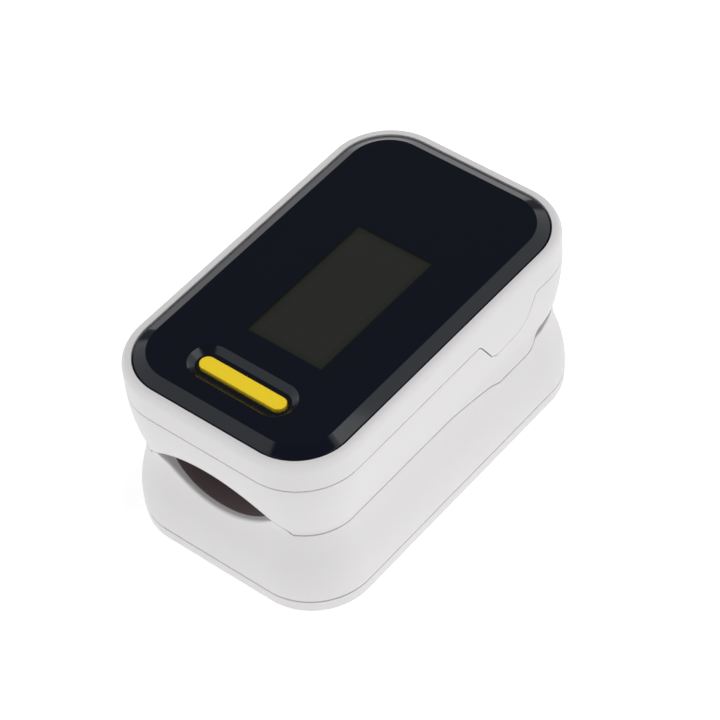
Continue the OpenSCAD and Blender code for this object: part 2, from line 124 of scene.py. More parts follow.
def skin(z):
    """How far the outer skin stands beyond the panel's outline at a height."""
    if z < BASE_ROUND_Z:
        edge = base_side(BASE_ROUND_Z) - BASE_BOTTOM_SWELL
        return BASE_BOTTOM_SWELL + edge * sqrt(max(0, 1 - (1 - z / BASE_ROUND_Z) ** 2))
    if z < LOWER_WIDE_Z:
        return base_side(z)
    if z < LOWER_WIDE_Z + LOWER_RISE / 2:
        return LOWER_SWELL - sag(LOWER_ARC_R, z - LOWER_WIDE_Z)
    if z < WAIST_Z:
        return -WAIST_INSET + sag(LOWER_ARC_R, WAIST_Z - z)
    if z < UPPER_WIDE_Z:
        return UPPER_SWELL - sag(UPPER_ARC_R, UPPER_WIDE_Z - z)
    if z < RIM_ROUND_Z:
        return UPPER_SWELL
    height = min(1, (z - RIM_ROUND_Z) / (RIM_Z - RIM_ROUND_Z))
    return RIM_TOP_SWELL + (UPPER_SWELL - RIM_TOP_SWELL) * sqrt(1 - height ** 2)


# ---- Seams: heights along Y, and arcs across X at the finger opening ----

PIVOT_ARC_R = 2.48
SEAM_FRONT = [(-60, 14.2), (0.5, 14.1), (2.5, 13.85), (5.7, 13.4), (9, 12.8), (10.8, PIVOT_Z - PIVOT_ARC_R)]
UPPER_REAR = [(19.9, 14.7), (20.9, 15.35), (22.4, 16), (25, 16.8), (60, 24)]
LOWER_REAR = [(20.6, 13.75), (21.4, 14.15), (23.5, 14.4), (60, 14.4)]
LUG = [(5, TOP_SEAM_Z), (5.6, 24.5), (8.2, 20.3), (9.4, 19.6), (11.5, 19.8), (14, 19.9),
       (15.2, 20.6), (16.1, 21.8), (17.1, 24), (17.9, TOP_SEAM_Z)]
ARCH_R, ARCH_Z, ARCH_HALF = 16.3, 20, 12.9
SCOOP_R, SCOOP_Z = 13, 11.8
SCOOP_CENTRE_Z = SCOOP_Z + SCOOP_R
LINER_R = SCOOP_R + 1.05
LINER_SWELL = -0.75
EDGE_ROUND, SCOOP_ROUND = 0.13, 0.4
# Distance from a rounding to the row of points that holds it in place
EDGE_SUPPORT, RIM_SUPPORT = 0.07, 0.05


def pivot_arc(radius, last_angle, steps=10):
    """Stretch of the clam seam that turns about the hinge."""
    angles = [radians(-90 + (last_angle + 90) * i / steps) for i in range(steps + 1)]
    return [(PIVOT_Y + radius * cos(a), PIVOT_Z + radius * sin(a)) for a in angles]


def clam_edge(half_gap, last_angle, rear):
    """One side of the clam seam: its front run, its turn about the hinge and its rear run."""
    front = [(y, z + half_gap) for y, z in SEAM_FRONT]
    return front + pivot_arc(PIVOT_ARC_R - half_gap, last_angle) + rear


UPPER_EDGE = clam_edge(CLAM_GAP / 2, -15, UPPER_REAR)
LOWER_EDGE = clam_edge(-CLAM_GAP / 2, -25, LOWER_REAR)
LUG_SEAT = [(y + (SEAM if y > 10 else -SEAM), z - (SEAM if z < 20 else 0)) for y, z in LUG]


def along_line(line, y):
    return float(np.interp(y, [p[0] for p in line], [p[1] for p in line]))


def arch(x, gap=0.0):
    return ARCH_Z - ARCH_R + sqrt(max(0, (ARCH_R - gap) ** 2 - x ** 2))


def upper_low_edge(x, y):
    """Bottom of the upper half: the clam seam, lifted over the finger at the front."""
    edge = along_line(UPPER_EDGE, y)
    return max(edge, arch(x)) if y < 0 else edge


def lower_high_edge(x, y):
    """Top of the lower half: the clam seam, with the scoop for the finger at the front."""
    edge = along_line(LOWER_EDGE, y)
    if y < -20 and abs(x) < ARCH_HALF:
        edge = max(edge, arch(x, CLAM_GAP))
    if y < 0 and abs(x) < SCOOP_R:
        edge = min(edge, SCOOP_CENTRE_Z - sqrt(SCOOP_R ** 2 - x ** 2))
    return edge


def cover_low_edge(x, y):
    return along_line(LUG, y)


def upper_high_edge(x, y):
    return min(TOP_SEAM_Z - SEAM, along_line(LUG_SEAT, y))


# ---- Columns round the rounded outline ----

SIDE_COLUMNS, END_COLUMNS, CORNER_COLUMNS = 40, 30, 33


def column(centre, angle):
    """Place on the outline's skeleton, and the direction outwards."""
    return centre[0], centre[1], cos(angle), sin(angle)


def column_point(col, swell, z):
    """Point of a column at a swell beyond the panel's outline."""
    reach = PANEL_R + swell
    return col[0] + reach * col[2], col[1] + reach * col[3], z


def outline_columns():
    """Columns anticlockwise round the casing, from the middle of the rear."""
    marks = {round(y, 4) for line in (UPPER_EDGE, LOWER_EDGE, LUG, LUG_SEAT) for y, _ in line}
    marks |= {round(y, 4) for y in np.linspace(-CORNER_Y, CORNER_Y, SIDE_COLUMNS)}
    side_places = sorted(y for y in marks if abs(y) < CORNER_Y - 0.02)
    end_places = list(np.linspace(-CORNER_X, CORNER_X, END_COLUMNS)[1:-1])
    turn = np.linspace(0, pi / 2, CORNER_COLUMNS)
    columns = [column((x, CORNER_Y), pi / 2) for x in reversed(end_places) if x <= 0]
    columns += [column((-CORNER_X, CORNER_Y), pi / 2 + a) for a in turn]
    columns += [column((-CORNER_X, y), pi) for y in reversed(side_places)]
    columns += [column((-CORNER_X, -CORNER_Y), pi + a) for a in turn]
    columns += [column((x, -CORNER_Y), 3 * pi / 2) for x in end_places]
    columns += [column((CORNER_X, -CORNER_Y), 3 * pi / 2 + a) for a in turn]
    columns += [column((CORNER_X, y), 0) for y in side_places]
    columns += [column((CORNER_X, CORNER_Y), a) for a in turn]
    columns += [column((x, CORNER_Y), pi / 2) for x in reversed(end_places) if x > 0]
    return columns


COLUMNS = outline_columns()


def edge_height(col, edge, rounds=5):
    """Height at which a column's outer skin meets an edge."""
    z = WAIST_Z
    for _ in range(rounds):
        x, y, _ = column_point(col, skin(z), z)
        z = edge(x, y)
    return z


# ---- Plane figures ----

def filleted(points, radii, steps=5, support=0.06):
    """Open line with each inner corner turned into an arc, and a point held on both sides of it."""
    line = [points[0]]
    for before, corner, after, radius in zip(points, points[1:], points[2:], radii):
        before, corner, after = (np.array(p, float) for p in (before, corner, after))
        back = (before - corner) / np.linalg.norm(before - corner)
        ahead = (after - corner) / np.linalg.norm(after - corner)
        half = acos(np.clip(np.dot(back, ahead), -1, 1)) / 2
        reach = radius / tan(half)
        middle = back + ahead
        centre = corner + middle / np.linalg.norm(middle) * radius / sin(half)
        first, last = corner + back * reach - centre, corner + ahead * reach - centre
        turn = pi - 2 * half
        line.append(tuple(corner + back * (reach + support)))
        for i in range(steps + 1):
            t = i / steps
            arm = (sin((1 - t) * turn) * first + sin(t * turn) * last) / sin(turn)
            line.append(tuple(centre + arm))
        line.append(tuple(corner + ahead * (reach + support)))
    line.append(points[-1])
    return line


def inset_loop(loop, inset):
    """Closed outline drawn in by inset, mitred at its corners."""
    points = np.array(loop, float)
    ahead = np.roll(points, -1, 0) - points
    ahead /= np.linalg.norm(ahead, axis=1)[:, None]
    following = np.roll(points, -1, 0)
    area = (points[:, 0] * following[:, 1] - points[:, 1] * following[:, 0]).sum()
    normal = np.stack([-ahead[:, 1], ahead[:, 0]], 1) * (1 if area > 0 else -1)
    before = np.roll(normal, 1, 0)
    mitre = (normal + before) / (1 + (normal * before).sum(1))[:, None]
    return [tuple(p) for p in points + mitre * inset]


def quarter(steps):
    """Angles of a quarter turn, from none to the whole."""
    return [pi / 2 * i / steps for i in range(steps + 1)]


def circle(x, y, radius, sides=40):
    angles = [2 * pi * i / sides for i in range(sides)]
    return [(x + radius * cos(a), y + radius * sin(a)) for a in angles]


def arc(x, y, radius, first, last, steps=12):
    """Points of an arc between two angles in degrees."""
    angles = [radians(first + (last - first) * i / steps) for i in range(steps + 1)]
    return [(x + radius * cos(a), y + radius * sin(a)) for a in angles]


def rounded_box(x0, y0, x1, y1, radius, steps=6):
    loop = []
    for cx, cy, first in ((x1 - radius, y1 - radius, 0), (x0 + radius, y1 - radius, 90),
                          (x0 + radius, y0 + radius, 180), (x1 - radius, y0 + radius, 270)):
        loop += arc(cx, cy, radius, first, first + 90, steps)
    return loop


def pill_loop(reach, half_width, y=0.0, steps=20):
    """Outline of a pill lying along X."""
    return arc(reach, y, half_width, -90, 90, steps) + arc(-reach, y, half_width, 90, 270, steps)


# An extrusion's outline is drawn in two of the axes, and its height lies along the third.

def upright(a, b, h):
    return a, b, h


def along(a, b, h):
    return a, h, b


def across(a, b, h):
    return h, a, b


def rim_levels(end, direction, fillet, steps):
    """Insets and heights that round an extrusion's rim, from its end inwards."""
    if fillet == 0:
        return [(0, end)]
    arcs = [(fillet * (1 - sin(a)), end + direction * fillet * (1 - cos(a))) for a in quarter(steps)]
    return [(fillet + RIM_SUPPORT, end)] + arcs


# ---- Solids ----

def add_object(name, data):
    """Puts a mesh, lamp or camera into the scene."""
    added = bpy.data.objects.new(name, data)
    bpy.context.scene.collection.objects.link(added)
    return added


# Edges between faces that meet at more than this angle, in degrees, are drawn sharp
SHARP_ANGLE = 40.0
WIRE_SHARP_ANGLE = 60.0


class Shape:
    """Closed surfaces gathered in millimetres, which become one mesh object."""

    def __init__(self):
        self.points = []
        self.faces = []

    def grid(self, rows, wrap_rows=False):
        """Quads between rows of points, and the point numbers of each row."""
        start, count = len(self.points), len(rows[0])
        for row in rows:
            self.points.extend(row)
        for i in range(len(rows) if wrap_rows else len(rows) - 1):
            here, there = start + i * count, start + (i + 1) % len(rows) * count
            for k in range(count):
                m = (k + 1) % count
                self.faces.append((here + k, here + m, there + m, there + k))
        return [list(range(start + i * count, start + (i + 1) * count)) for i in range(len(rows))]

    def cap(self, *loops):
        """Flat face inside the first loop and outside the others, given as point numbers."""
        numbers = [i for loop in loops for i in loop]
        for triangle in tessellate_polygon([[Vector(self.points[i]) for i in loop] for loop in loops]):
            self.faces.append(tuple(numbers[i] for i in triangle))

    def solid(self, rows):
        """Closed solid over rows of points, with flat faces over the first and the last."""
        numbers = self.grid(rows)
        self.cap(numbers[0])
        self.cap(numbers[-1])

    def prism(self, loops, low, high, place=upright, fillets=(0.12, 0.12), steps=4):
        """Extrusion of an outline less its holes, with both rims rounded."""
        lows, highs = [], []
        for number, loop in enumerate(loops):
            sign = -1 if number else 1
            levels = rim_levels(low, 1, fillets[0], steps) + rim_levels(high, -1, fillets[1], steps)[::-1]
            rows = self.grid([[place(a, b, h) for a, b in inset_loop(loop, sign * inset)]
                              for inset, h in levels])
            lows.append(rows[0])
            highs.append(rows[-1])
        self.cap(*lows)
        self.cap(*highs)

    def lathe(self, profile, place, centre=(0, 0), sides=56):
        """Solid turned about an axis: the profile is (radius, height), and both ends are capped."""
        self.solid([[place(a, b, h) for a, b in circle(*centre, radius, sides)] for radius, h in profile])

    def ring(self, section_of):
        """Wall swept round the casing: section_of gives each column's closed section as (swell, height)."""
        self.grid([[column_point(col, swell, z) for swell, z in section_of(col)] for col in COLUMNS],
                  wrap_rows=True)

    def tube(self, path, radius, sides=12):
        """Round wire along a path, with domed ends."""
        path = [Vector(p) for p in path]
        tangents = [(b - a).normalized() for a, b in zip(path[:1] + path[:-1], path[1:] + path[-1:])]
        tangents[0] = (path[1] - path[0]).normalized()
        side = tangents[0].orthogonal().normalized()
        dome = [(1, 0), (0.8, 0.6), (0.3, 0.95)]
        scales = [[(scale, -lift) for scale, lift in dome[::-1]]] + [dome[:1]] * (len(path) - 2) + [dome]
        rows = []
        for point, tangent, levels in zip(path, tangents, scales):
            side = (side - tangent * side.dot(tangent)).normalized()
            other = tangent.cross(side)
            for scale, lift in levels:
                middle = point + tangent * lift * radius
                rows.append([tuple(middle + (side * cos(a) + other * sin(a)) * radius * scale)
                             for a in (2 * pi * k / sides for k in range(sides))])
        self.solid(rows)

    def place(self, name):
        """Puts the surfaces into the scene as one object in metres, with its faces turned outwards."""
        mesh = bpy.data.meshes.new(name)
        mesh.from_pydata([tuple(c * MM for c in p) for p in self.points], [], self.faces)
        work = bmesh.new()
        work.from_mesh(mesh)
        bmesh.ops.recalc_face_normals(work, faces=work.faces)
        work.to_mesh(mesh)
        work.free()
        return add_object(name, mesh)

    def build(self, name, body, slot, node, sharp=SHARP_ANGLE):
        """Makes the piece, which stands for a CAD node and rides on its body, if it has only one."""
        piece = self.place(name)
        piece.data.materials.append(FINISHES[slot])
        smooth(piece.data, sharp)
        if body:
            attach(piece, body)
        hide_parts(node)
        return piece


def smooth(mesh, sharp):
    mesh.shade_smooth()
    mesh.set_sharp_from_angle(angle=radians(sharp))


def drill(piece, x, y, radius, low, high):
    """Cuts an upright round hole through a piece."""
    hole = Shape()
    hole.lathe([(radius, low), (radius, high)], upright, (x, y))
    cutter = hole.place("hole")
    cut = piece.modifiers.new("hole", "BOOLEAN")
    cut.operation = "DIFFERENCE"
    cut.solver = "EXACT"
    cut.use_self = True
    cut.object = cutter
    drilled = piece.evaluated_get(bpy.context.evaluated_depsgraph_get())
    piece.data = bpy.data.meshes.new_from_object(drilled)
    piece.modifiers.clear()
    bpy.data.objects.remove(cutter)
    smooth(piece.data, SHARP_ANGLE)


def recess(x):
    """How far the lower liner's front end falls back towards its lips."""
    return 0.9 * min(1, abs(x) / 9) ** 3


def even_back(col, low, high):
    """Inner side of a wall of even thickness, from its top down."""
    return [(skin(z) - WALL, z) for z in np.linspace(high, low, 8)]


def scooped_back(col, low, high):
    """Inner side of the lower wall, which follows the liner's front end behind the scoop."""
    x, y, _ = column_point(col, LINER_SWELL, 0)
    if y > -CORNER_Y or abs(x) > LINER_R - 0.1:
        return even_back(col, low, high)
    step = SCOOP_CENTRE_Z - sqrt(LINER_R ** 2 - x ** 2)
    if step > high - 0.05:
        return even_back(col, low, high)
    back = (PANEL_R + LINER_SWELL - recess(x)) / -col[3] - PANEL_R
    back = min(back, skin(high) - 0.35)
    return [(back, high), (back, step)] + [(skin(z) - WALL, z) for z in np.linspace(step - 0.01, low, 6)]


def even_round(col):
    return EDGE_ROUND


def scooped_round(col):
    """Rounding of the lower wall's top edge, which is softer along the scoop."""
    x, y, _ = column_point(col, 0, 0)
    softer = min(1, max(0, (SCOOP_R - 3 - abs(x)) / 2)) if y < -CORNER_Y else 0
    return EDGE_ROUND + (SCOOP_ROUND - EDGE_ROUND) * softer


def high_rounding(z, fillet):
    """Rounding of a wall's outer edge, from the skin at a height up to the edge's flat top."""
    return [(skin(z) - fillet * (1 - cos(a)), z + fillet * sin(a)) for a in quarter(4)[1:]]


def low_rounding(z, fillet):
    """Rounding of a wall's outer edge, from its flat bottom up to the skin at a height."""
    return [(skin(z) - fillet * (1 - cos(a)), z - fillet * sin(a)) for a in quarter(4)[:0:-1]]


def wall_section(low_edge, high_edge, back=even_back, high_round=even_round, steps=22):
    """Section of a shell's wall between two edges, for Shape.ring."""
    def section(col):
        low, high = edge_height(col, low_edge), edge_height(col, high_edge)
        fillet = high_round(col)
        lower, upper = low + EDGE_ROUND, high - fillet
        heights = [lower, *np.linspace(lower + EDGE_SUPPORT, upper - EDGE_SUPPORT, steps), upper]
        line = [(skin(z), z) for z in heights]
        line += high_rounding(upper, fillet)
        line += [(skin(upper) - fillet - EDGE_SUPPORT, high)]
        line += back(col, low, high)
        line += [(skin(lower) - EDGE_ROUND - EDGE_SUPPORT, low)]
        line += low_rounding(lower, EDGE_ROUND)
        return line
    return section


# ---- Materials ----

FINISHES = {}


class Nodes:
    """Adds nodes to one node tree."""

    def __init__(self, tree):
        self.tree = tree

    def node(self, kind, **settings):
        node = self.tree.nodes.new("ShaderNode" + kind)
        for key, value in settings.items():
            setattr(node, key, value)
        return node

    def put(self, socket, value):
        """Links an input to an output, or sets it to a value."""
        if isinstance(value, bpy.types.NodeSocket):
            self.tree.links.new(value, socket)
        else:
            socket.default_value = value

    def feed(self, node, **values):
        """Sets or links inputs by name, where a name's spaces are underscores."""
        for key, value in values.items():
            self.put(node.inputs[key.replace("_", " ")], value)

    def span(self, value, low, high, to_low=0.0, to_high=1.0, soft=False):
        """A value's run from low to high, carried over to another run and kept inside it."""
        node = self.node("MapRange", interpolation_type="SMOOTHSTEP" if soft else "LINEAR")
        self.feed(node, Value=value, From_Min=low, From_Max=high, To_Min=to_low, To_Max=to_high)
        return node.outputs["Result"]

    def sum(self, operation, first, second):
        node = self.node("Math", operation=operation)
        for socket, value in zip(node.inputs, (first, second)):
            self.put(socket, value)
        return node.outputs[0]


class Finish(Nodes):
    """A node material around one Principled shader, kept in FINISHES under its slot's name."""

    def __init__(self, name, metallic=0.0, coat=0.0, sheen=0.0):
        material = bpy.data.materials.new(name)
        material.use_nodes = True
        FINISHES[name] = material
        super().__init__(material.node_tree)
        self.shader = self.tree.nodes["Principled BSDF"]
        self.feed(self.shader, Metallic=metallic, Coat_Weight=coat, Coat_Roughness=0.05,
                  Sheen_Weight=sheen, Sheen_Roughness=0.5)
        self.place = self.node("TexCoord").outputs["Object"]

    def noise(self, scale, detail=2.0):
        node = self.node("TexNoise")
        self.feed(node, Vector=self.place, Scale=scale, Detail=detail)
        return node.outputs["Fac"]

    def blend(self, factor, first, second):
        """Colour between two others, each a socket or three numbers."""
        node = self.node("Mix", data_type="RGBA")
        for key, value in (("A", first), ("B", second)):
            socket = next(s for s in node.inputs if s.name == key and s.type == "RGBA")
            self.put(socket, value if isinstance(value, bpy.types.NodeSocket) else (*value, 1))
        self.put(node.inputs["Factor"], factor)
        return next(s for s in node.outputs if s.type == "RGBA")

    def axes(self):
        node = self.node("SeparateXYZ")
        self.put(node.inputs[0], self.place)
        return node.outputs

    def surface(self, color, roughness, height=None, depth=0.0, strength=0.0):
        """Connects the colour, the roughness and any relief, whose depth is in millimetres."""
        self.feed(self.shader, Base_Color=color, Roughness=roughness)
        if height is not None:
            relief = self.node("Bump")
            self.feed(relief, Strength=strength, Distance=depth * MM, Height=height)
            self.feed(self.shader, Normal=relief.outputs["Normal"])


def tones(color, spread):
    """Darker and lighter tone on both sides of a colour."""
    return [c * (1 - spread) for c in color], [min(1, c * (1 + spread)) for c in color]


def moulded(name, color, roughness, grain=3500.0, spread=0.02, relief=0.25, depth=0.012, **kind):
    """Moulded plastic or rubber: a fine spark-eroded grain over a slow drift in tone."""
    finish = Finish(name, **kind)
    fine = finish.noise(grain, 3.0)
    slow = finish.noise(90.0)
    tone = finish.blend(finish.sum("MULTIPLY_ADD", slow, 0.7), *tones(color, spread))
    finish.surface(tone, finish.span(fine, 0.3, 0.7, roughness * 0.88, roughness * 1.12),
                   fine, depth, relief)


def brushed(name, color, roughness):
    """Drawn or rolled metal with short streaks and a little tarnish."""
    finish = Finish(name, metallic=1.0)
    stretch = finish.node("Mapping")
    finish.feed(stretch, Vector=finish.place, Scale=(400.0, 5200.0, 5200.0))
    streaks = finish.node("TexNoise")
    finish.feed(streaks, Vector=stretch.outputs["Vector"], Scale=1.0, Detail=3.0)
    tarnish = finish.noise(420.0, 3.0)
    tone = finish.blend(finish.span(tarnish, 0.35, 0.75), *tones(color, 0.1))
    streak = streaks.outputs["Fac"]
    finish.surface(tone, finish.span(streak, 0.3, 0.7, roughness * 0.75, roughness * 1.3),
                   streak, 0.004, 0.3)


POCKET_W, POCKET_L, POCKET_Y = 14.3, 25.3, -1.5
WINDOW_W, WINDOW_L = 12.7, 23.6
WINDOW_X, WINDOW_Y = 0.8, -1.8
# Width of the painted shade band along the window's rear and left edges, standing for the display's depth
PAINTED_SHADE_REACH = 0.32
# Half the length and half the width of the zone round the button which is satin below the face
SATIN_REACH, SATIN_HALF = 9.2, 3.3
FACE_ROUGHNESS, DISH_ROUGHNESS = (0.035, 0.06), 0.2


def panel_finish():
    """Gloss black acrylic, satin in the button's dish, and clear over the display behind it.

    A band of painted shade darkens the window's rear and left edge, and painted shade darkens the display's
    margins, both standing for the display lying deeper than the panel's face.
    """
    finish = Finish("panel_black")
    x, y, z = finish.axes()

    def rectangle(mid_x, mid_y, half_x, half_y, soft):
        """One inside a soft-edged rectangle and none outside it."""
        parts = []
        for value, middle, half in ((x, mid_x, half_x), (y, mid_y, half_y)):
            away = finish.sum("ABSOLUTE", finish.sum("SUBTRACT", value, middle * MM), 0.0)
            parts.append(finish.span(away, (half - soft) * MM, (half + soft) * MM, 1.0, 0.0, soft=True))
        return finish.sum("MULTIPLY", *parts)

    half_w, half_l = WINDOW_W / 2, WINDOW_L / 2
    above = finish.span(z, (PANEL_TOP - 0.2) * MM, (PANEL_TOP - 0.1) * MM)
    outer = finish.sum("MULTIPLY", rectangle(WINDOW_X, WINDOW_Y, half_w, half_l, 0.16), above)
    # Window shifted to the right and front: the part of the outline it leaves uncovered, along the rear and
    # left edges, gets painted shade
    clear_of_painted_band = rectangle(WINDOW_X + PAINTED_SHADE_REACH, WINDOW_Y - PAINTED_SHADE_REACH, half_w, half_l, 0.3)
    inner = finish.sum("MULTIPLY", clear_of_painted_band, outer)
    # Darker margins round the display are painted shade; this mask is one in the unshaded middle
    clear = rectangle(WINDOW_X + PAINTED_SHADE_REACH / 2, WINDOW_Y - PAINTED_SHADE_REACH / 2,
                      half_w - 0.7, half_l - 0.7, 0.9)
    slow = finish.noise(140.0)
    middle = finish.blend(slow, (0.0205, 0.0210, 0.0188), (0.0228, 0.0232, 0.0212))
    glass = finish.blend(clear, (0.0150, 0.0172, 0.0118), middle)
    # Outside the window the panel's own blue-black; inside it near black, which shows only in the band of
    # painted shade along the rear and left edges
    panel_and_painted_shade = finish.blend(outer, (0.0016, 0.0034, 0.0095), (0.0008, 0.0010, 0.0009))
    tone = finish.blend(inner, panel_and_painted_shade, glass)
    fine = finish.noise(6000.0)
    gloss = finish.span(fine, 0.3, 0.7, *FACE_ROUGHNESS)
    below = finish.span(z, (PANEL_TOP - 0.25) * MM, (PANEL_TOP - 0.1) * MM, DISH_ROUGHNESS, 0.0)
    satin = finish.sum("MULTIPLY", rectangle(0, BUTTON_Y, SATIN_REACH, SATIN_HALF, 0.1), below)
    finish.surface(tone, finish.sum("MAXIMUM", gloss, satin), slow, 0.002, 0.05)


def board_finish():
    """Solder mask with copper tracks under it."""
    finish = Finish("board_green")
    weave = finish.noise(5000.0)
    tracks = finish.node("TexBrick", offset=0.37)
    finish.feed(tracks, Vector=finish.place, Scale=420.0, Mortar_Size=0.06,
                Color1=(0, 0, 0, 1), Color2=(0.2, 0.2, 0.2, 1), Mortar=(1, 1, 1, 1))
    tone = finish.blend(tracks.outputs["Color"], (0.010, 0.105, 0.040), (0.030, 0.200, 0.075))
    finish.surface(tone, finish.span(weave, 0.3, 0.7, 0.32, 0.42), tracks.outputs["Fac"], 0.02, 0.4)


def cell_finish():
    """Printed wrap with a plain band at the positive end, over bare metal at both ends."""
    finish = Finish("cell_wrap", metallic=0.55)
    y = finish.axes()["Y"]
    fine = finish.noise(2600.0)
    low, high = box_mm("battery_left")
    band = finish.span(y, (high[1] - 12.5) * MM, (high[1] - 12.3) * MM)
    bare_low = finish.span(y, (low[1] + 0.55) * MM, (low[1] + 0.6) * MM, 1.0, 0.0)
    bare_high = finish.span(y, (high[1] - 2.0) * MM, (high[1] - 1.95) * MM)
    bare = finish.sum("MAXIMUM", bare_low, bare_high)
    wrap = finish.blend(band, (0.020, 0.030, 0.045), (0.50, 0.36, 0.12))
    tone = finish.blend(bare, wrap, (0.62, 0.62, 0.60))
    finish.surface(tone, finish.span(fine, 0.3, 0.7, 0.26, 0.36), fine, 0.006, 0.2)


def film_finish():
    """Amber flexible film with fine copper lines along it."""
    finish = Finish("flex_amber", coat=0.3)
    waves = finish.sum("SINE", finish.sum("MULTIPLY", finish.axes()["X"], 7800.0), 0.0)
    lines = finish.sum("ABSOLUTE", waves, 0.0)
    fine = finish.noise(3000.0)
    tone = finish.blend(finish.span(lines, 0.5, 0.62), (0.42, 0.17, 0.02), (0.62, 0.30, 0.07))
    finish.surface(tone, finish.span(fine, 0.3, 0.7, 0.25, 0.35), lines, 0.01, 0.3)


moulded("case_white", (0.710, 0.697, 0.706), 0.42, spread=0.008, relief=0.10)
panel_finish()
moulded("display_glass", (0.02, 0.022, 0.02), 0.12, grain=1200.0, relief=0.02)
moulded("holder_black", (0.022, 0.022, 0.024), 0.5)
film_finish()
board_finish()
moulded("chip_black", (0.018, 0.018, 0.019), 0.45, grain=6000.0)
brushed("screw_steel", (0.55, 0.55, 0.57), 0.28)
moulded("button_yellow", (0.93, 0.672, 0.023), 0.38, spread=0.012, relief=0.12)
moulded("pad_silicone", (0.112, 0.079, 0.080), 0.62, grain=2400.0, spread=0.06, sheen=0.25)
moulded("window_red", (0.30, 0.035, 0.03), 0.14, relief=0.03, coat=0.5)
moulded("led_cream", (0.72, 0.66, 0.48), 0.4)
cell_finish()
brushed("contact_nickel", (0.66, 0.63, 0.56), 0.3)
brushed("spring_steel", (0.50, 0.50, 0.52), 0.24)

# The CAD nodes that stay visible take their slot's finish
slot_of = {row["node"]: row["material_slot"] for row in frame["record"]["subparts"]}
for name, obj in frame["nodes"].items():
    obj.data.materials.clear()
    obj.data.materials.append(FINISHES[slot_of[name]])
    obj.data.polygons.foreach_set("material_index", [0] * len(obj.data.polygons))


# ---- Upper half ----

BUTTON_REACH, BUTTON_HALF = 6.0, 1.15
HOLE_HALF = BUTTON_HALF + 0.2
DISH_REACH, DISH_HALF, DISH_FLARE, DISH_DEPTH = 5.65, 2.05, 0.95, 0.8


def make_panel():
    """Gloss panel: bevelled rim, dish and slot for the button, and a pocket behind the window."""
    shape = Shape()
    bevel_z = PANEL_TOP - BEVEL_RISE
    groove_z = bevel_z - GROOVE_DEPTH
    profile = filleted([(-1.2, PANEL_BOTTOM), (0, PANEL_BOTTOM), (0, groove_z), (-GROOVE_W, groove_z),
                        (-GROOVE_W, bevel_z + GROOVE_W * BEVEL_RISE / BEVEL_W),
                        (-BEVEL_W, PANEL_TOP), (-BEVEL_W - 1.3, PANEL_TOP)],
                       [0.08, 0.04, 0.04, 0.08, 0.25], support=0.02)
    rim = shape.grid([[column_point(col, swell, z) for col in COLUMNS] for swell, z in profile])
    dish_z = PANEL_TOP - DISH_DEPTH
    flare = DISH_HALF + DISH_FLARE
    profile = filleted([(flare + 0.35, PANEL_TOP), (flare, PANEL_TOP), (DISH_HALF, dish_z),
                        (HOLE_HALF, dish_z), (HOLE_HALF, PANEL_BOTTOM)], [0.12, 0.12, 0.1])
    rows = []
    for half, z in profile:
        reach = float(np.interp(half, [HOLE_HALF, DISH_HALF], [BUTTON_REACH, DISH_REACH]))
        rows.append([(a, b, z) for a, b in pill_loop(reach, half, BUTTON_Y)])
    dish = shape.grid(rows)
    pocket_loop = rounded_box(-POCKET_W / 2, POCKET_Y - POCKET_L / 2,
                              POCKET_W / 2, POCKET_Y + POCKET_L / 2, 0.4)
    pocket = shape.grid([[(a, b, z) for a, b in pocket_loop] for z in (PANEL_BOTTOM, PANEL_TOP - 1)])
    shape.cap(rim[-1], dish[0])
    shape.cap(rim[0], dish[-1], pocket[0])
    shape.cap(pocket[-1])
    return shape.build("panel_gloss", "upper_half", "panel_black", "display_panel")


def make_button():
    """Yellow pill with a soft edge round its face, on the flange that holds it in."""
    shape = Shape()
    low = button_low[2]
    flange_z, flange_half = PANEL_BOTTOM - 0.1, BUTTON_HALF + 1.5
    profile = filleted([(flange_half - 0.3, low), (flange_half, low), (flange_half, flange_z),
                        (BUTTON_HALF, flange_z), (BUTTON_HALF, BUTTON_TOP), (BUTTON_HALF - 0.45, BUTTON_TOP)],
                       [0.1, 0.2, 0.1, 0.16], steps=6, support=0.03)
    shape.solid([[(a, b, z) for a, b in pill_loop(BUTTON_REACH, half, BUTTON_Y)] for half, z in profile])
    return shape.build("button_cap", "power_button", "button_yellow", "power_button")


def make_cover():
    """White frame round the panel, with a ledge under it and a lug down each side."""
    ledge_z, ledge_swell, ledge_t = PANEL_BOTTOM, -1.6, 1
    wall_swell = UPPER_SWELL - WALL

    def section(col):
        low = edge_height(col, cover_low_edge)
        lower = low + EDGE_ROUND
        heights = [lower, *np.linspace(lower + EDGE_SUPPORT, RIM_ROUND_Z, 16)]
        line = [(skin(z), z) for z in heights]
        line += [(RIM_TOP_SWELL + (UPPER_SWELL - RIM_TOP_SWELL) * cos(a),
                  RIM_ROUND_Z + (RIM_Z - RIM_ROUND_Z) * sin(a)) for a in quarter(12)[1:]]
        line += filleted([(0.4, RIM_Z), (0.1, RIM_Z), (0.1, ledge_z), (ledge_swell, ledge_z),
                          (ledge_swell, ledge_z - ledge_t), (wall_swell, ledge_z - ledge_t),
                          (wall_swell, ledge_z - 1.6)],
                         [0.1, 0.05, 0.08, 0.08, 0.05], steps=3, support=0.03)
        line += even_back(col, low, ledge_z - 1.7)
        line += [(skin(lower) - EDGE_ROUND - EDGE_SUPPORT, low)]
        line += low_rounding(lower, EDGE_ROUND)
        return line

    shape = Shape()
    shape.ring(section)
    return shape.build("cover_frame", "upper_half", "case_white", "top_cover")


FLOOR_T = 0.8
FLOOR_Z = emitter_low[2] - FLOOR_T
EMITTER_Y = -5
SLOT_Y = PIVOT_Y + 5.6
# Near and far face of a hinge ear, from the middle
UPPER_EAR, LOWER_EAR = (11.6, 13.1), (13.6, 15.1)
POST_X, POST_Y, POST_R = 11.5, 22, 1.7


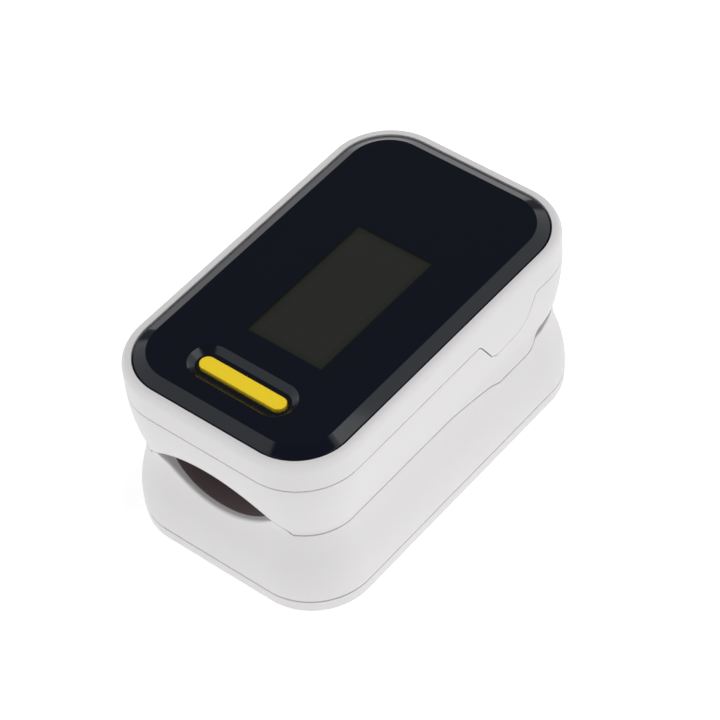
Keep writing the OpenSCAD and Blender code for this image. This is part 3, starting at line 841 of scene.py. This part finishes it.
def floor_loop():
    """Outline of the saddle floor, which is let into the wall but stays clear of the cover's lugs."""
    loop = []
    for col in COLUMNS:
        under_lug = LUG[0][0] < column_point(col, 0, 0)[1] < LUG[-1][0]
        loop.append(column_point(col, skin(FLOOR_Z) - WALL + (-0.05 if under_lug else 0.1), 0)[:2])
    return loop


def mirrored(side, faces):
    """Two places along X on one side of the middle, the lower first."""
    return sorted(side * face for face in faces)


def add_ear(shape, side, faces, radius, root_z, hole):
    """Hinge ear: a round end about the pin's hole, and a straight root above or below it."""
    turn = 180 if root_z > PIVOT_Z else 0
    round_end = arc(PIVOT_Y, PIVOT_Z, radius, turn, turn + 180, 20)
    root = [(round_end[-1][0], root_z), (round_end[0][0], root_z)]
    shape.prism([round_end + root, circle(PIVOT_Y, PIVOT_Z, hole)], *mirrored(side, faces), across)


def make_upper_shell():
    """Skirt of the upper half, its saddle floor, the posts for the board and the hinge ears."""
    shape = Shape()
    shape.ring(wall_section(upper_low_edge, upper_high_edge))
    slot = rounded_box(-3.5, SLOT_Y - 0.8, 3.5, SLOT_Y + 0.8, 0.4)
    shape.prism([floor_loop(), circle(0, EMITTER_Y, 3), slot], FLOOR_Z, FLOOR_Z + FLOOR_T)
    for side in (-1, 1):
        add_ear(shape, side, UPPER_EAR, 1.6, FLOOR_Z + 0.2, PIN_R + 0.06)
        for end in (-1, 1):
            place = side * POST_X, end * POST_Y
            shape.prism([circle(*place, POST_R), circle(*place, 0.8)],
                        FLOOR_Z + 0.4, box_mm("main_board")[0][2], fillets=(0.12, 0.1))
    return shape.build("skirt_shell", "upper_half", "case_white", "upper_shell")


def make_upper_pad():
    """Soft liner over the fingertip: a shallow vault with full edges, closed by a stop at its inner end."""
    low, high = box_mm("upper_pad")
    half, top, land = high[0], high[2] - 0.03, 17
    vault_r, crown = 12.5, box_mm("emitter_window")[0][2] - 0.1

    def block(floor_z, corner):
        """Outline above a floor from its right corner to its left one, both rounded."""
        right = arc(half - corner, floor_z + corner, corner, -90, 0, 8)
        left = arc(corner - half, floor_z + corner, corner, 180, 270, 8)
        return right + [(half, top), (-half, top)] + left

    places = np.linspace(-half + 1.2, half - 1.2, 41)
    vault = [max(land, crown - vault_r + sqrt(vault_r ** 2 - x ** 2)) for x in places]
    last = len(vault) - 1
    eased = [np.mean([vault[max(0, min(last, i + k))] for k in (-2, -1, 0, 1, 2)]) for i in range(len(vault))]
    shape = Shape()
    shape.prism([list(zip(places, eased)) + block(land, 0.7)], low[1], high[1] - 1.2, along,
                fillets=(0.55, 0.2), steps=6)
    shape.prism([block(low[2], 1)], high[1] - 1.4, high[1], along, fillets=(0.5, 0.3), steps=6)
    piece = shape.build("finger_pad_upper", "upper_half", "pad_silicone", "upper_pad")
    drill(piece, 0, EMITTER_Y, 2.6, 10, 25)
    return piece


# ---- Lower half ----

DOOR_HALF, DOOR_FRONT, DOOR_T = 12, -21.8, 1.1
DOOR_GAP = 0.15
BASE_SCREWS = [(-3.6, -25.9), (3.6, -25.9), (-14.6, 22.8), (14.6, 22.8)]
BAY_ROOF_Z, DECK_HALF = 11.85, 14.3
TROUGH_T = 0.8
BOSS_H = 6
LIP_SWELL = -2
# The base stops a hair short of its seam, which makes the seam read as a line
BASE_TOP_Z = BASE_SEAM_Z - 0.06
BASE_FLOOR_Z = 1.2
# Pieces that meet stand this far apart, so no two of their faces share a plane
HAIR = 0.02


def square_column(x):
    """Column at a fixed x across the rear, looking straight to the rear."""
    def point(swell, z):
        run = max(0, abs(x) - CORNER_X)
        return x, CORNER_Y + sqrt((PANEL_R + swell) ** 2 - run ** 2), z
    return point


def swept(shape, section_of, columns):
    """Open run of wall along columns, some of them square ones, closed at both ends."""
    shape.solid([[col(swell, z) if callable(col) else column_point(col, swell, z)
                  for swell, z in section_of(col)] for col in columns])


def base_section(inner, floor_swell, low=0.0, fillet=0.12):
    """Section of the base's rim: rounded where it meets the table, upright inside."""
    def section(col):
        top = BASE_TOP_Z - fillet
        heights = [BASE_ROUND_Z * (1 - cos(a)) for a in quarter(10)]
        heights = [z for z in heights if z >= low]
        if low > 0:
            heights.insert(0, low)
        heights += [BASE_FLOOR_Z, 1.6, top - EDGE_SUPPORT, top]
        line = [(skin(z), z) for z in heights]
        line += high_rounding(top, fillet)
        line += [(skin(top) - fillet - EDGE_SUPPORT, BASE_TOP_Z)]
        line += [(inner(BASE_TOP_Z), BASE_TOP_Z), (inner(BASE_FLOOR_Z), BASE_FLOOR_Z)]
        line += [(floor_swell, BASE_FLOOR_Z), (floor_swell, low), (skin(low) - EDGE_SUPPORT, low)]
        return line
    return section


def make_base():
    """Base cover: a shallow dish, open along the middle for the sliding door."""
    shape = Shape()
    edge = DOOR_HALF + DOOR_GAP
    floor_swell = -1.2
    run = [col for col in COLUMNS
           if col[1] < CORNER_Y - 0.01 or abs(column_point(col, floor_swell, 0)[0]) > edge + 0.2]
    columns = [square_column(-edge)] + run + [square_column(edge)]
    swept(shape, base_section(lambda z: skin(z) - WALL, floor_swell), columns)
    side, front = edge + HAIR, DOOR_FRONT - 0.2
    plate_swell = floor_swell + 0.2
    plate = [column_point(col, plate_swell, 0)[:2] for col in run]
    plate = [square_column(-side)(plate_swell, 0)[:2]] + plate + [square_column(side)(plate_swell, 0)[:2]]
    plate += [(side, front), (-side, front)]
    holes = [circle(x, y, 1.3, 28) for x, y in BASE_SCREWS]
    shape.prism([plate] + holes, 0.01, BASE_FLOOR_Z, fillets=(0.08, 0.05), steps=3)
    return shape.build("base_dish", "lower_half", "case_white", "base_cover")


def make_door():
    """Sliding door of the battery bay: a flat tray with grip grooves, side rails and a rear wall."""
    shape = Shape()
    low, groove_depth = 0.1, 0.25
    tray = rounded_box(-DOOR_HALF, DOOR_FRONT, DOOR_HALF, 27.9, 0.4)
    grooves = [rounded_box(-4, y, 4, y + 0.7, 0.34) for y in (17 + 1.6 * i for i in range(5))]
    shape.prism([tray] + grooves, low, low + groove_depth, fillets=(0.1, 0), steps=3)
    shape.prism([tray], low + groove_depth, DOOR_T, fillets=(0, 0.1), steps=3)
    for side in (-1, 1):
        near, far = mirrored(side, (DOOR_HALF - 0.3, DOOR_HALF + 0.7))
        shape.prism([rounded_box(near, DOOR_FRONT + 0.1, far, 25.5, 0.2)], 0.65, DOOR_T,
                    fillets=(0.08, 0.08), steps=3)
    places = np.linspace(HAIR - DOOR_HALF, DOOR_HALF - HAIR, 49)
    swept(shape, base_section(lambda z: 0.1, -0.9, low + HAIR), [square_column(x) for x in places])
    return shape.build("bay_door", "battery_door", "case_white", "battery_door")


def trough_loop(inner, outer, limit_x, limit_z, ease):
    """Section of a trough about the finger: two arcs joined by rounded lips."""
    def half_angle(radius):
        return degrees(min(asin(limit_x / radius), acos((SCOOP_CENTRE_Z - limit_z) / radius)))
    outside, inside = half_angle(outer), half_angle(inner)
    bottom = arc(0, SCOOP_CENTRE_Z, outer, -90 - outside + ease, -90 + outside - ease, 40)
    top = arc(0, SCOOP_CENTRE_Z, inner, -90 + inside - ease, -90 - inside + ease, 40)
    lips = []
    for edge_out, edge_in in ((bottom[-1], top[0]), (top[-1], bottom[0])):
        start, end = np.array(edge_out), np.array(edge_in)
        middle, arm = (start + end) / 2, (start - end) / 2
        lift = np.array([-arm[1], arm[0]])
        if lift[1] < 0:
            lift = -lift
        lips.append([tuple(middle + arm * cos(a) + lift * sin(a))
                     for a in (pi * i / 8 for i in range(1, 8))])
    return bottom + lips[0] + top + lips[1]


def screw_rib(x, y):
    """Corners of the rib that ties a screw's boss to the casing's wall."""
    if y < 0:
        return x - 0.5, -27.9, x + 0.5, y - 1
    near, far = mirrored(copysign(1, x), (abs(x) + 1, abs(x) + 2.8))
    return near, y - 0.5, far, y + 0.5


def lip_section(col):
    """Section of the lip that stands up inside the clam seam along the sides."""
    top = min(15.05, along_line(LOWER_EDGE, column_point(col, LIP_SWELL, 0)[1]) + 0.95)
    swell, root, step = skin(13.8), 12.6, 13.2
    return [(swell - 1.2, root), (swell - 1.2, step), (swell - 1.6, step), (swell - 1.6, top - 0.1),
            (swell - 1.7, top), (swell - 2.1, top), (swell - 2.2, top - 0.1), (swell - 2.2, root)]


def make_lower_shell():
    """Lower casing: wall, trough for the finger, deck over the cells, hinge ears, bosses and lip."""
    shape = Shape()
    low = BASE_SEAM_Z + SEAM
    shape.ring(wall_section(lambda x, y: low, lower_high_edge, scooped_back, scooped_round))
    outer, inner = SCOOP_R + 1 + TROUGH_T, SCOOP_R + 1.02
    shape.prism([trough_loop(inner, outer, 10.8, 15.5, 0.6)], -28.1, 12, along, fillets=(0.1, 0.1))
    rim = [column_point(col, skin(12.2) - WALL + 0.15, 0)[:2] for col in COLUMNS]
    back = [(x, y) for x, y in rim if y > 22 and abs(x) < DECK_HALF]
    deck = [(-DECK_HALF, 12), (DECK_HALF, 12)] + sorted(back, key=lambda point: -point[0])
    shape.prism([deck, rounded_box(-4, 22, 4, 24, 0.3)], BAY_ROOF_Z, BAY_ROOF_Z + 0.8)
    ear_r, ear_root_z = 2.1, 10.5
    for side in (-1, 1):
        add_ear(shape, side, LOWER_EAR, ear_r, ear_root_z, PIN_R + 0.01)
        near, far = mirrored(side, (LOWER_EAR[0], 16.4))
        shape.prism([rounded_box(near, PIVOT_Y - ear_r, far, PIVOT_Y + ear_r, 0.2)], ear_root_z, 11.8)
    for x, y in BASE_SCREWS:
        shape.prism([circle(x, y, 1.4), circle(x, y, 0.7)], low, low + BOSS_H)
        shape.prism([rounded_box(*screw_rib(x, y), 0.1)], low, low + BOSS_H)
    for side in (-1, 1):
        run = [col for col in COLUMNS if side * col[0] > 1 and column_point(col, LIP_SWELL, 0)[1] < 6
               and side * column_point(col, LIP_SWELL, 0)[0] > 11]
        swept(shape, lip_section, run)
    return shape.build("lower_casing", "lower_half", "case_white", "lower_shell")


def make_lower_pad():
    """Soft liner under the fingertip: a thin trough with full lips, closed by a stop at its inner end."""
    low, high = box_mm("lower_pad")

    def set_back(a, b, h):
        return (a, h + recess(a), b) if h < EMITTER_Y else (a, h, b)

    shape = Shape()
    shape.prism([trough_loop(SCOOP_R, SCOOP_R + 0.97, 10.5, high[2] - 0.6, 0.9)],
                low[1], high[1] - 1.2, set_back, fillets=(0.2, 0.1), steps=6)
    stop_angle = 46.4
    stop = arc(0, SCOOP_CENTRE_Z, SCOOP_R + 0.94, -90 - stop_angle, -90 + stop_angle, 40)
    shape.prism([stop], high[1] - 1.4, high[1], along, fillets=(0.4, 0.2), steps=6)
    piece = shape.build("finger_pad_lower", "lower_half", "pad_silicone", "lower_pad")
    drill(piece, 0, EMITTER_Y, 3.1, 5, 20)
    return piece


def make_cell(name, node, end):
    """Cell with a rolled rim, a wrap turned in at both ends, and a stepped nub."""
    low, high = box_mm(node)
    radius = (high[0] - low[0]) / 2
    centre = ((low[0] + high[0]) / 2, (low[2] + high[2]) / 2)
    length = high[1] - low[1]
    nub = length - 1
    foot = [(0.3, 0), (radius - 0.55, 0), (radius - 0.45, 0.25), (radius - 0.05, 0.25), (radius, 0.6)]
    shoulder = [(radius, nub - 1.2), (radius - 0.3, nub - 0.7), (radius, nub - 0.35), (radius - 0.5, nub)]
    tip = [(2.6, nub - 0.15), (1.9, nub - 0.05), (1.85, length), (0.3, length)]
    profile = filleted(foot + shoulder + tip, [0.1, 0.06, 0.1, 0.1, 0.2, 0.2, 0.1, 0.15, 0.1, 0.1, 0.25],
                       steps=4, support=0.02)

    def place(a, b, h):
        return (a, low[1] + h, b) if end > 0 else (a, high[1] - h, b)

    shape = Shape()
    shape.lathe(profile, place, centre)
    return shape.build(name, "lower_half", "cell_wrap", node)


TURN_STEPS = 24


def make_hinge_springs():
    """Two torsion springs of round wire on the pin, each with one leg up and one to the rear."""
    wire, coil, turns = 0.25, 1.4, 4.25
    steps = int(turns * TURN_STEPS)
    shape = Shape()
    for side in (-1, 1):
        first, last = side * (11.3 - wire), side * (8.7 + wire)
        path = [(first, PIVOT_Y - coil, z) for z in np.linspace(FLOOR_Z - 0.3, PIVOT_Z + 0.5, 9)]
        for i in range(steps + 1):
            angle = pi + 2 * pi * turns * i / steps
            path.append((first + (last - first) * i / steps, PIVOT_Y + coil * cos(angle),
                         PIVOT_Z + coil * sin(angle)))
        path += [(last, PIVOT_Y + 0.6 * i, PIVOT_Z - coil) for i in range(1, 9)]
        shape.tube(path, wire)
    return shape.build("torsion_springs", "lower_half", "spring_steel", "hinge_springs", WIRE_SHARP_ANGLE)


def make_contact_springs():
    """Conical contact springs of round wire, wide at the plate and narrow at the cell."""
    low, high = box_mm("contact_springs")
    cell_x, cell_z = 9.9, (low[2] + high[2]) / 2
    wire, turns, length = 0.28, 3.25, 2.6
    tip_r, plate_r = 1.6, 3.4 - wire
    steps = int(turns * TURN_STEPS)
    shape = Shape()
    for side, tip_y in ((-1, low[1] + length), (1, high[1] - length)):
        path = []
        for i in range(steps + 1):
            t = i / steps
            angle = 2 * pi * turns * t
            radius = tip_r + (plate_r - tip_r) * t
            path.append((side * cell_x + radius * cos(angle),
                         tip_y + side * (wire + (length - 2 * wire) * t),
                         cell_z + radius * sin(angle)))
        shape.tube(path, wire)
    return shape.build("cone_springs", "lower_half", "contact_nickel", "contact_springs", WIRE_SHARP_ANGLE)


def make_flex():
    """Flexible strip from the sensor board to the main board, slack where it crosses the hinge."""
    low, high = box_mm("sensor_flex")
    under, top, half, thick = low[2] + 0.08, high[2], high[0], 0.07
    corner = filleted([(EMITTER_Y, under), (SLOT_Y, under), (SLOT_Y, BAY_ROOF_Z + 0.4)], [1.2], steps=10)
    bow_z, bow_depth, steps = BAY_ROOF_Z + 0.9, 0.55, 16
    bow = [(SLOT_Y + bow_depth * sin(pi * i / steps) ** 2, bow_z + (FLOOR_Z - bow_z) * i / steps)
           for i in range(steps + 1)]
    line = corner + bow + [(SLOT_Y, FLOOR_Z + 1), (SLOT_Y, top)]
    tangents = np.gradient(np.array(line), axis=0)
    tangents /= np.linalg.norm(tangents, axis=1)[:, None]
    rows = []
    for (y, z), (dy, dz) in zip(line, tangents):
        rows.append([(side * half, y - face * thick * dz, z + face * thick * dy)
                     for side, face in ((-1, -1), (1, -1), (1, 1), (-1, 1))])
    shape = Shape()
    shape.solid(rows)
    piece = shape.build("flex_strip", None, "flex_amber", "sensor_flex", WIRE_SHARP_ANGLE)
    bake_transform(piece)
    return piece


make_panel()
make_button()
make_cover()
make_upper_shell()
make_upper_pad()
make_lower_shell()
make_base()
make_door()
make_lower_pad()
make_cell("cell_left", "battery_left", 1)
make_cell("cell_right", "battery_right", -1)
make_hinge_springs()
make_contact_springs()
make_flex()

# ---- Camera, floor and light ----

scene = bpy.context.scene
camera_data = bpy.data.cameras.new("camera")
camera = add_object("camera", camera_data)
scene.camera = camera
camera_data.sensor_width = 36
camera_data.lens = 146.28
camera_data.clip_start = 0.01
camera.matrix_world = Matrix((
    (0.77825, -0.42741, 0.46007, 0.18450),
    (0.62485, 0.59991, -0.49968, -0.19865),
    (-0.06243, 0.67635, 0.73394, 0.30827),
    (0, 0, 0, 1)))


# Half the floor's side in metres, and the strength of its own light
FLOOR_HALF, FLOOR_GLOW = 3, 0.45


def floor_finish():
    """Pale lit table, a light box's top, which keeps shadows faint."""
    finish = Finish("floor")
    slow = finish.noise(12.0)
    finish.feed(finish.shader, Emission_Color=(1, 1, 1, 1), Emission_Strength=FLOOR_GLOW)
    finish.surface(finish.blend(slow, (0.80, 0.80, 0.80), (0.82, 0.82, 0.82)),
                   finish.span(slow, 0.0, 1.0, 0.8, 0.9))


floor_mesh = bpy.data.meshes.new("floor")
floor_mesh.from_pydata([(x * FLOOR_HALF, y * FLOOR_HALF, 0) for x, y in ((-1, -1), (1, -1), (1, 1), (-1, 1))],
                       [], [(0, 1, 2, 3)])
floor = add_object("floor", floor_mesh)
floor_finish()
floor_mesh.materials.append(FINISHES["floor"])

# Two broad light banks stand left and right of the camera's line. Between them, overhead and behind
# the camera, the studio is dark, which keeps the panel's face black while its bevels pick up the banks.
BANK_SIDE = Vector((0.735, 0.677, 0)).normalized()
LEFT_BANK, RIGHT_BANK, DARK_SKY = 0.78, 0.88, 0.12
BANK_EDGE, BANK_BLEND = (0.44, 0.53), 0.25
HORIZON = (0.42, 0.22)
HORIZON_LEVEL = 0.2
world = bpy.data.worlds.new("world")
scene.world = world
world.use_nodes = True
sky = Nodes(world.node_tree)
towards = sky.node("TexCoord").outputs["Generated"]
facing = sky.node("VectorMath", operation="DOT_PRODUCT")
sky.put(facing.inputs[0], towards)
sky.put(facing.inputs[1], BANK_SIDE)
across_sky = facing.outputs["Value"]
parts = sky.node("SeparateXYZ")
sky.put(parts.inputs[0], towards)
below_level = sky.sum("MULTIPLY", parts.outputs["Z"], -1.0)
banks = sky.span(sky.sum("ABSOLUTE", across_sky, 0.0), *BANK_EDGE, soft=True)
horizon = sky.span(below_level, -HORIZON[0], -HORIZON[1], 0.0, HORIZON_LEVEL, soft=True)
level = sky.span(across_sky, -BANK_BLEND, BANK_BLEND, LEFT_BANK, RIGHT_BANK, soft=True)
lit = sky.sum("MULTIPLY", sky.sum("MAXIMUM", banks, horizon), level)
sky.feed(sky.tree.nodes["Background"], Color=(1, 1, 1, 1), Strength=sky.sum("MAXIMUM", lit, DARK_SKY))

LAMP_DISTANCE, LAMP_SIZE = 0.9, 0.5


def softbox(name, direction, power, in_gloss=False):
    """Square lamp that looks at the object from a direction."""
    data = bpy.data.lights.new(name, "AREA")
    data.shape = "SQUARE"
    data.size = LAMP_SIZE
    data.energy = power
    lamp = add_object(name, data)
    lamp.location = Vector(direction).normalized() * LAMP_DISTANCE
    lamp.rotation_mode = "QUATERNION"
    lamp.rotation_quaternion = Vector(direction).to_track_quat("Z", "Y")
    lamp.visible_glossy = in_gloss


softbox("key", (0.75, 0.35, 0.8), 0.7, in_gloss=True)
softbox("overhead", (0.05, 0.02, 1.0), 2.7)
softbox("front", (-0.8, -0.8, 0.6), 0.9)
softbox("corner", (0.7, -0.7, 0.25), 1.0)
softbox("side", (1.0, 0.1, 0.35), 0.25)
scene.view_settings.view_transform = "Standard"
